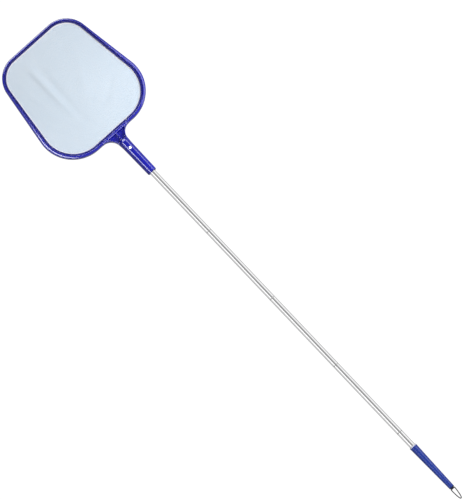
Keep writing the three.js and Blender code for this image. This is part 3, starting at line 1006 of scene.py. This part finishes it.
def add_button(materials):
    """A domed stud with a flange that keeps it in the tube."""
    low, high = millimetre_box("snap_button")
    flange, stem, edge = (high.x - low.x) / 2, BUTTON_STEM_RADIUS, BUTTON_EDGE
    flange_top = low.z + BUTTON_FLANGE
    profile = [
        (0, low.z), (flange - edge, low.z), (flange, low.z + edge), (flange, flange_top - edge),
        (flange - edge, flange_top), (stem + edge, flange_top), (stem, flange_top + edge),
    ]
    for angle in np.radians(range(0, 91, 10)):
        height = high.z - BUTTON_DOME * (1 - math.sin(angle))
        profile.append((stem * math.cos(angle), height))
    button = stood("snap_button_stud", profile, materials["button"], BUTTON_STEPS)
    finish_piece(button, "button", "snap_button")


SPRING_THICKNESS = 0.5


def add_spring(materials):
    """A strip bent to a V inside the tube, under the button. In the real net it flattens as the button
    goes down; this mesh keeps one shape.
    """
    low, high = millimetre_box("button_spring")
    flange = millimetre_box("snap_button")[1].x
    open_end, fold = high.y, low.y
    bend = BUTTON_V + MOUTH_Y - flange
    lower_top, upper_bottom = low.z + SPRING_THICKNESS, high.z - SPRING_THICKNESS
    outline = [
        (open_end, low.z), (open_end, lower_top), (fold + 2 * SPRING_THICKNESS, lower_top),
        (bend, upper_bottom), (open_end, upper_bottom), (open_end, high.z), (bend, high.z),
        (fold, lower_top + SPRING_THICKNESS), (fold, low.z),
    ]
    count = len(outline)
    corners = [(x, y, z) for x in (low.x, high.x) for y, z in outline]
    faces = grid_faces(2, count) + [tuple(range(count)), tuple(range(count, 2 * count))]
    spring = object_from("button_leaf_spring", corners, faces, materials["spring"])
    weld(spring)
    finish_piece(spring, "head", "button_spring")
    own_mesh(spring)


# ---- Pole ----

TUBE_EDGE = 0.3


def add_section(number, body, material):
    """A plain tube with rounded ends. The first one is drilled for the snap button."""
    low, high = millimetre_box(f"pole_section_{number}")
    outer = (high.x - low.x) / 2
    inner, rounding = outer - TUBE_WALL, outer - TUBE_EDGE
    start, end = low.y - MOUTH_Y, high.y - MOUTH_Y
    # Rings of points near the ends and the drilled hole keep the shading between them even.
    rings = [start + 2 * TUBE_EDGE, end - 2 * TUBE_EDGE]
    if number == 1:
        rings[1:1] = [BUTTON_V - 2 * TUBE_HOLE_RADIUS, BUTTON_V + 2 * TUBE_HOLE_RADIUS]
    profile = [(inner, start), *arc((rounding, start + TUBE_EDGE), TUBE_EDGE, -90, 0, 3)]
    profile += [(outer, v) for v in rings]
    profile += [*arc((rounding, end - TUBE_EDGE), TUBE_EDGE, 0, 90, 3), (inner, end)]
    tube = turned(f"tube_{number}", profile, material)
    if number == 1:
        drill(tube)
    finish_piece(tube, body, f"pole_section_{number}")


def drill(tube):
    """Cuts the snap button's hole through the top wall of the first section."""
    low, high = AXIS_HEIGHT, 2 * AXIS_HEIGHT
    profile = [(0, low), (TUBE_HOLE_RADIUS, low), (TUBE_HOLE_RADIUS, high), (0, high)]
    cutter = stood("cutter", profile, tube.data.materials[0], HOLE_STEPS)
    cut = tube.modifiers.new("hole", "BOOLEAN")
    cut.object = cutter
    cut.operation = "DIFFERENCE"
    cut.solver = "EXACT"
    apply_modifiers(tube)
    bpy.data.objects.remove(cutter)


def apply_modifiers(piece):
    graph = bpy.context.evaluated_depsgraph_get()
    mesh = bpy.data.meshes.new_from_object(piece.evaluated_get(graph))
    piece.modifiers.clear()
    piece.data = mesh


CRUSH_RIBS = 8
CRUSH_RIB_HEIGHT = 0.16


def add_plug(number, body, material):
    """A hollow joint plug with a stop collar, and crush ribs along each half."""
    low, high = millimetre_box(f"joint_plug_{number}")
    collar = (high.x - low.x) / 2
    middle = (low.y + high.y) / 2 - MOUTH_Y
    reach = (high.y - low.y) / 2
    half = COLLAR_WIDTH / 2
    half_profile = [
        (PLUG_BORE, reach), (PLUG_RADIUS - 1, reach), (PLUG_RADIUS - 0.15, reach - 1.7),
        (PLUG_RADIUS, reach - 2.2), (PLUG_RADIUS, half), (collar - 0.1, half), (collar, half - 0.1),
    ]
    profile = [(radius, middle + along) for radius, along in half_profile]
    profile += [(radius, middle - along) for radius, along in half_profile[::-1]]
    angles = round_angles(ROUND_STEPS)
    grooves = CRUSH_RIB_HEIGHT * (1 - np.clip(np.cos(CRUSH_RIBS * angles) * 3 - 1.2, 0, 1))
    corners = []
    for radius, v in profile:
        ribbed = PLUG_BORE < radius < collar - 0.5
        for angle, groove in zip(angles, grooves):
            reached = radius - (groove if ribbed else 0)
            x, z = reached * math.sin(angle), AXIS_HEIGHT + reached * math.cos(angle)
            corners.append((x, v + MOUTH_Y, z))
    faces = grid_faces(len(profile), ROUND_STEPS, close_rows=True)
    plug = object_from(f"plug_{number}", corners, faces, material)
    weld(plug)
    finish_piece(plug, body, f"joint_plug_{number}")


SECTIONS = 5


def add_pole(materials):
    """The five tubes and the plugs between them, each riding on its own body."""
    bodies = frame["record"]["behaviour"]["bodies"]
    body_of = {node: body for body, nodes in bodies.items() for node in nodes}
    for number in range(1, SECTIONS + 1):
        add_section(number, body_of[f"pole_section_{number}"], materials["aluminium"])
    for number in range(1, SECTIONS):
        add_plug(number, body_of[f"joint_plug_{number}"], materials["nylon"])


# ---- Grip, end cap and hang loop ----

def add_grip(materials):
    """A hollow sleeve that tapers to the end cap, with a collar at its mouth."""
    low, high = millimetre_box("grip_sleeve")
    mouth, end = high.y - MOUTH_Y, low.y - MOUTH_Y
    shoulder = millimetre_box("pole_section_5")[0].y - MOUTH_Y - FIT_GAP
    bore = SOCKET_BORE_RADIUS
    inside = [
        (bore, mouth - 0.6), (bore, shoulder), (GRIP_HOLLOW_START, shoulder - 1),
        (GRIP_HOLLOW_END, end + CAP_PLUG_LENGTH + 2), (GRIP_HOLLOW_END, end),
    ]
    round_end = arc((GRIP_END_RADIUS - 1, end + 1), 1, -90, -5, 5)
    slim = np.array(round_end[-1])
    neck = np.array((GRIP_NECK_RADIUS, mouth - GRIP_COLLAR_WIDTH - 0.9))
    taper = [tuple(slim + (neck - slim) * share) for share in np.linspace(0.05, 1, 20)]
    collar_edge = (GRIP_COLLAR_RADIUS - 0.78, mouth - GRIP_COLLAR_WIDTH + 0.2)
    collar = arc(collar_edge, 0.8, -60, 0, 4)
    collar += arc((GRIP_COLLAR_RADIUS - 1, mouth - 1), 1, 0, 90, 6)
    profile = [*inside, *round_end, *taper, *collar, (bore + 0.5, mouth)]
    grip = turned("grip_handle", profile, materials["grip"])
    finish_piece(grip, "section_5", "grip_sleeve")


def cap_field(x, v, z):
    """The cap's plug, flange and tongue, with v measured from the flange's inner face."""
    radius = np.hypot(x, z)
    plug = cut_to(radius - CAP_PLUG_RADIUS, np.maximum(v - CAP_PLUG_LENGTH, -v - 0.5), 0.6)
    half_flange = CAP_FLANGE / 2
    flange = cut_to(radius - GRIP_END_RADIUS, np.abs(v + half_flange) - half_flange, 0.35)
    from_pivot = np.hypot(v + PIVOT_DEPTH, z)
    tongue_side = np.where(v > -PIVOT_DEPTH, np.abs(z), from_pivot) - TONGUE_HALF_HEIGHT
    tongue = cut_to(np.maximum(tongue_side, v), np.abs(x) - TONGUE_HALF_WIDTH, 0.5)
    tongue = hollowed(tongue, from_pivot - PIVOT_HOLE_RADIUS, 0.3)
    return joined(joined(plug, flange, 0.2), tongue, 0.5)


CAP_SPACE = ((-7.5, -9, -7.5), (7.5, 13, 7.5))  # a box round the cap, in cap_field's own frame
CAP_CELL = 0.3


def add_cap(materials):
    flange_y = millimetre_box("grip_end_cap")[1].y - CAP_PLUG_LENGTH
    points, quads = surface_of(cap_field, *CAP_SPACE, CAP_CELL)
    points += (0, flange_y, AXIS_HEIGHT)
    cap = object_from("grip_cap", points, quads.tolist(), materials["cap"], sharp=60)
    finish_piece(cap, "section_5", "grip_end_cap")


def smooth_line(points, per_span):
    """A smooth curve through all the points (centripetal Catmull-Rom)."""
    points = np.asarray(points, float)
    padded = np.vstack([2 * points[0] - points[1], points, 2 * points[-1] - points[-2]])
    curve = []
    for i in range(1, len(padded) - 2):
        p = padded[i - 1:i + 3]
        knots = np.concatenate([[0], np.cumsum(np.linalg.norm(np.diff(p, axis=0), axis=1) ** 0.5)])
        for t in np.linspace(knots[1], knots[2], per_span, endpoint=False):
            a = [p[k] + (p[k + 1] - p[k]) * (t - knots[k]) / (knots[k + 1] - knots[k]) for k in range(3)]
            b = [a[k] + (a[k + 1] - a[k]) * (t - knots[k]) / (knots[k + 2] - knots[k]) for k in range(2)]
            curve.append(b[0] + (b[1] - b[0]) * (t - knots[1]) / (knots[2] - knots[1]))
    curve.append(points[-1])
    return np.array(curve)


WIRE_STEPS = 24
WIRE_END_SHARES = (0.55, 0.85)  # the wire's radius at its first two rings of points


def loop_line():
    """The wire's centre line, in the loop's own plane: x across, y from the pivot to the point."""
    bend_centre = (LOOP_HALF_WIDTH - LOOP_BEND, -LOOP_BEND)
    tip_centre = (0, LOOP_TIP_ROUND - LOOP_REACH)
    side = [(LOOP_END_GAP, 0), *arc(bend_centre, LOOP_BEND, 90, 0, 3), LOOP_WAIST]
    side += [*arc(tip_centre, LOOP_TIP_ROUND, -15, -50, 1), (0, -LOOP_REACH)]
    return smooth_line(side + [(-x, y) for x, y in side[-2::-1]], 6)


def add_loop(materials):
    """Wire bent to a narrow loop. Its two ends turn inwards into the cap's tongue."""
    joint = next(joint for joint in frame["joints"] if joint["name"] == "loop_swing")
    pivot = np.array(joint["pos_m"]) / MM
    drop = AXIS_HEIGHT - LOOP_WIRE_RADIUS - LOOP_GROUND_GAP
    turn = np.array(Matrix.Rotation(math.asin(drop / LOOP_REACH), 3, "X"))
    path = loop_line()
    ahead = np.gradient(path, axis=0)
    ahead /= np.linalg.norm(ahead, axis=1)[:, None]
    beside = np.column_stack([ahead[:, 1], -ahead[:, 0]])
    rows = []
    for i, (point, out) in enumerate(zip(path, beside)):
        from_end = min(i, len(path) - 1 - i)
        share = WIRE_END_SHARES[from_end] if from_end < len(WIRE_END_SHARES) else 1
        radius = LOOP_WIRE_RADIUS * share
        for angle in round_angles(WIRE_STEPS):
            flat = (*(point + out * radius * math.cos(angle)), radius * math.sin(angle))
            rows.append(turn @ flat + pivot)
    last = len(rows)
    ends = [tuple(range(WIRE_STEPS))[::-1], tuple(range(last - WIRE_STEPS, last))]
    wire = object_from("hang_wire", rows, grid_faces(len(path), WIRE_STEPS) + ends, materials["wire"])
    weld(wire)
    finish_piece(wire, "loop", "hang_loop")


# ---- Everything ----

def build():
    add_camera()
    add_world()
    add_floor()
    materials = make_materials()
    add_head_moulding(materials)
    add_retainer(materials)
    add_net(materials)
    add_button(materials)
    add_spring(materials)
    add_pole(materials)
    add_grip(materials)
    add_cap(materials)
    add_loop(materials)
    add_lights()
    bpy.context.scene.view_settings.view_transform = "Standard"


build()
